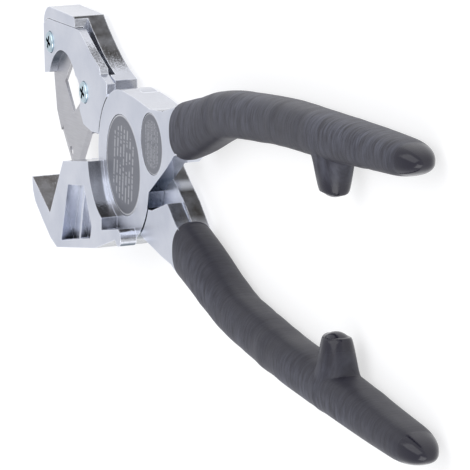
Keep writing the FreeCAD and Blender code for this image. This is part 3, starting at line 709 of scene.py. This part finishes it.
class HOSECUTTER_OT_labels(bpy.types.Operator):
    """Two round labels in their shallow seats"""

    bl_idname = "hosecutter.labels"
    bl_label = "Labels"

    def execute(self, context):
        for cad_name, diameter, rows, turn in (
                ("hub_label", sizes().hub_label, 7, math.radians(10)),
                ("notice_label", sizes().notice_label, 9, math.radians(3))):
            low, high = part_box(cad_name)
            centre = ((low.x + high.x) / 2, (low.y + high.y) / 2)
            disc = label_disc(cad_name + "_film", centre, diameter, high.z - low.z, high.z)
            dress(disc, printed_label(cad_name + "_print", centre, diameter, rows, turn))
            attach(disc, "cradle_half")
            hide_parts(cad_name)
        return {"FINISHED"}


# ---------------------------------------------------------------- grips
# A handle's line: distance behind the pivot, distance from the line between the handles, grip height.
GRIP_LINE = [
    (44.0, 17.0, 17.0), (60.0, 21.6, 15.8), (77.0, 26.8, 13.6), (94.0, 29.3, 12.9),
    (121.0, 31.9, 12.5), (151.0, 33.3, 12.0), (181.0, 35.0, 10.4), (209.0, 36.2, 8.4),
]
GRIP_SIDES = 144  # points round each ring of a grip
SUPERELLIPSE = 2.45  # 2 would be an ellipse, and more is boxier
CAP_RINGS, CAP_POWER, CAP_ROOT = 34, 2.3, 2.1
CAP_REACH = 0.9995  # stops the last ring just short of a point
MOUTH_HALF = 8.0  # about half the mouth's height, in millimetres
STOP_SPAN = 9  # finer rings run this far either side of the stop, in millimetres
STOP_LENGTH, STOP_WIDTH = 7.2, 5.9  # the stop's half sizes along and across, in millimetres
WRINKLES = 16


def grip_skin(name, side, seed):
    """One grip as a tube along its handle.

    Round each ring the outline is a superellipse, wider across the tool than a circle. Along the handle the
    outline is scaled by a quarter circle at the mouth and by a rounded power curve at the closed end. Low
    rings, each a bell curve along the handle that leans and fades round it, wrinkle the skin. The stop is a
    flat-topped dome that pushes the inner side outwards.
    """
    size = sizes()
    start, end, cap = size.grip_start / MM, size.grip_end / MM, size.cap_length / MM
    stop, lip = size.stop_back / MM, size.lip_radius / MM
    backs = np.concatenate([
        np.linspace(start + lip, stop - STOP_SPAN, 110, endpoint=False),
        np.linspace(stop - STOP_SPAN, stop + STOP_SPAN, 60, endpoint=False),
        np.linspace(stop + STOP_SPAN, end - cap, 34, endpoint=False),
        end - cap + cap * np.sin(np.linspace(0, math.pi / 2, CAP_RINGS)) * CAP_REACH])
    q = np.clip((backs - (end - cap)) / cap, 0, 1)
    scale = (1 - q ** CAP_POWER) ** (1 / CAP_ROOT)
    roll = np.linspace(0, math.pi / 2, 9)[:-1]
    mouth_backs = start + lip - lip * np.sin(roll)[::-1]
    mouth_scale = 1 - (lip / MOUTH_HALF) * (1 - np.cos(roll[::-1]))
    inner_backs = np.array([start + 4.0, start + 3.0, start + 0.15])
    inner_scale = np.array([0.08, 0.60, 0.62])
    backs = np.concatenate([inner_backs, mouth_backs, backs])
    scale = np.concatenate([inner_scale, mouth_scale, scale])

    line = np.array(GRIP_LINE)
    offset = smooth_through(line[:, 0], line[:, 1], backs)
    half_height = smooth_through(line[:, 0], line[:, 2], backs) / 2
    taper = 1 - 0.10 * step_between(end - 60, end, backs)
    half_width = size.grip_width / MM / 2 * taper
    angle = np.linspace(0, 2 * math.pi, GRIP_SIDES, endpoint=False)
    power = 2 / SUPERELLIPSE
    inward = np.sign(np.cos(angle)) * np.abs(np.cos(angle)) ** power
    across = np.sign(np.sin(angle)) * np.abs(np.sin(angle)) ** power

    random = np.random.default_rng(seed)
    wrinkle = np.zeros((len(backs), len(angle)))
    for place in random.uniform(start + 12, end - 22, WRINKLES):
        lean, phase = random.uniform(-3, 3), random.uniform(0, 2 * math.pi)
        wide = random.uniform(1.6, 4.5)
        along = (backs[:, None] - place - lean * np.sin(angle + phase)) / wide
        fade = 0.5 + 0.5 * np.cos(angle - random.uniform(0, 2 * math.pi))
        wrinkle += random.uniform(-1, 1) * np.exp(-along ** 2) * fade
    wrinkle *= size.wrinkle / MM * step_between(start + 3, start + 14, backs)[:, None]
    wrinkle *= (1 - step_between(end - cap, end, backs))[:, None]

    reach = scale[:, None] * half_height[:, None] + wrinkle
    spread = scale[:, None] * half_width[:, None] + wrinkle
    toward = reach * inward
    z = spread * across
    root = half_height[:, None]
    peg = offset[:, None] - size.stop_rise / MM - root
    away = np.sqrt(((backs[:, None] - stop) / STOP_LENGTH) ** 2 + (z / STOP_WIDTH) ** 2)
    dome = (1 - step_between(0.60, 1.0, away)) * (1 - 0.10 * np.clip(away / 0.5, 0, 1) ** 2)
    toward = toward + np.where(inward > 0, peg * dome * step_between(0.0, 0.75, inward), 0.0)

    rise = side * (offset[:, None] - toward) - math.tan(size.handle_tilt) * backs[:, None]
    rings = np.stack([
        PIVOT.x - np.broadcast_to(backs[:, None], rise.shape) * MM, PIVOT.y - rise * MM,
        GRIP_MIDDLE + z * MM], axis=-1)
    tip = step_between(end - 0.62 * cap, end - 0.42 * cap, backs)[:, None] * np.ones(len(angle))
    shine = np.maximum(tip, (inward > 0) * step_between(0.30, 0.75, dome))
    return mesh_object(name, rings, shine)


class HOSECUTTER_OT_grips(bpy.types.Operator):
    """Dipped vinyl grips with their stops"""

    bl_idname = "hosecutter.grips"
    bl_label = "Grips"

    def execute(self, context):
        vinyl = dipped_vinyl("dipped_vinyl", tuple(finish().vinyl), tuple(finish().vinyl_bloom_and_side_light))
        for cad_name, side, body, seed in (
                ("upper_grip", 1, "cradle_half", 11), ("lower_grip", -1, "blade_half", 23)):
            skin = grip_skin(cad_name + "_skin", side, seed)
            dress(skin, vinyl)
            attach(skin, body)
            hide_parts(cad_name)
        return {"FINISHED"}


# ---------------------------------------------------------------- stage
FLOOR_REACH = 4.0
FLOOR_GAP = 0.0002  # the floor lies this far under the tool
HORIZON, ZENITH = (0.96, 0.97, 1.0, 1.0), (0.70, 0.71, 0.75, 1.0)  # the white room's colours
# Each softbox: its name, place from the pivot, width and height.
KEY_LIGHT = ("key_softbox", (-0.25, -0.55, 0.75), 1.2, 0.95)
FILL_LIGHT = ("fill_softbox", (-0.75, 0.55, 0.45), 0.75, 0.75)


def softbox(light, aim, power):
    """A rectangular light that faces a point."""
    name, from_pivot, width, height = light
    place = PIVOT + Vector(from_pivot)
    lamp = bpy.data.lights.new(name, "AREA")
    lamp.shape = "RECTANGLE"
    lamp.size, lamp.size_y, lamp.energy = width, height, power
    obj = link_to_scene(bpy.data.objects.new(name, lamp))
    obj.location = place
    obj.rotation_euler = (aim - place).to_track_quat("-Z", "Y").to_euler()
    return obj


class HOSECUTTER_OT_stage(bpy.types.Operator):
    """Pale floor, white room, soft lights and the camera"""

    bl_idname = "hosecutter.stage"
    bl_label = "Stage"

    def execute(self, context):
        settings = studio()
        side = np.array([-FLOOR_REACH, FLOOR_REACH])
        corner_x, corner_y = np.meshgrid(side, side)
        floor_z = CAD_BOX[0].z - FLOOR_GAP
        mesh = bpy.data.meshes.new("floor")
        mesh.from_pydata(
            np.stack([corner_x.ravel(), corner_y.ravel(), np.full(4, floor_z)], axis=-1).tolist(), [],
            [(0, 1, 3, 2)])
        floor = link_to_scene(bpy.data.objects.new("floor", mesh))
        material, tree, shader = new_material("floor_paint")
        tone = group_in(tree, "surface_grain", {"Coarse": 3.0, "Fine": 400.0})
        colour = tuple(settings.floor)
        paint = blend_colour(tree, tone.outputs["Patches"], colour, scaled(colour, 0.985))
        tree.links.new(paint, shader.inputs["Base Color"])
        shader.inputs["Roughness"].default_value = 0.9
        shader.inputs["Emission Color"].default_value = WHITE
        shader.inputs["Emission Strength"].default_value = settings.floor_glow
        dress(floor, material)

        world = bpy.data.worlds.new("white_room")
        context.scene.world = world
        world.use_nodes = True
        room = world.node_tree
        background = room.nodes["Background"]
        direction = node(room, "ShaderNodeTexCoord").outputs["Generated"]
        tone = remap(room, split(room, direction)["Z"], -0.1, 0.75, 0.0, 1.0)
        room.links.new(blend_colour(room, tone, HORIZON, ZENITH), background.inputs["Color"])
        background.inputs["Strength"].default_value = settings.sky

        aim = PIVOT + Vector(settings.aim_from_pivot)
        softbox(KEY_LIGHT, aim, settings.key_power)
        softbox(FILL_LIGHT, aim, settings.fill_power)

        camera_data = bpy.data.cameras.new("camera")
        camera_data.sensor_width = 36.0
        camera_data.lens = settings.lens
        camera_data.clip_start, camera_data.clip_end = 0.01, 50.0
        camera = link_to_scene(bpy.data.objects.new("camera", camera_data))
        place = PIVOT + Vector(settings.camera_from_pivot)
        facing = (aim - place).to_track_quat("-Z", "Y").to_matrix().to_4x4()
        roll = Matrix.Rotation(settings.camera_roll, 4, "Z")
        camera.matrix_world = Matrix.Translation(place) @ facing @ roll
        context.scene.camera = camera
        context.scene.view_settings.view_transform = "Standard"
        return {"FINISHED"}


# ---------------------------------------------------------------- sidebar
class HOSECUTTER_PT_sidebar(bpy.types.Panel):
    """Lists the cutter's pieces and settings"""

    bl_idname = "HOSECUTTER_PT_sidebar"
    bl_label = "Hose Cutter"
    bl_space_type = "VIEW_3D"
    bl_region_type = "UI"
    bl_category = "Hose Cutter"

    def draw(self, context):
        for step in STEPS:
            self.layout.operator(step.bl_idname)
        for settings in (sizes(), finish(), studio()):
            box = self.layout.box()
            for name in settings.__annotations__:
                box.prop(settings, name)


STEPS = (
    HOSECUTTER_OT_castings, HOSECUTTER_OT_blade, HOSECUTTER_OT_fasteners, HOSECUTTER_OT_labels,
    HOSECUTTER_OT_grips, HOSECUTTER_OT_stage,
)
CLASSES = (CutterSizes, CutterFinish, StudioSettings, *STEPS, HOSECUTTER_PT_sidebar)


def register():
    for each in CLASSES:
        bpy.utils.register_class(each)
    bpy.types.Scene.cutter_sizes = PointerProperty(type=CutterSizes)
    bpy.types.Scene.cutter_finish = PointerProperty(type=CutterFinish)
    bpy.types.Scene.cutter_studio = PointerProperty(type=StudioSettings)


def unregister():
    for name in ("cutter_sizes", "cutter_finish", "cutter_studio"):
        delattr(bpy.types.Scene, name)
    for each in reversed(CLASSES):
        bpy.utils.unregister_class(each)


def main():
    """Builds everything in order."""
    register()
    build_groups()
    for step in STEPS:
        group, name = step.bl_idname.split(".")
        getattr(getattr(bpy.ops, group), name)()


if __name__ == "__main__":
    main()
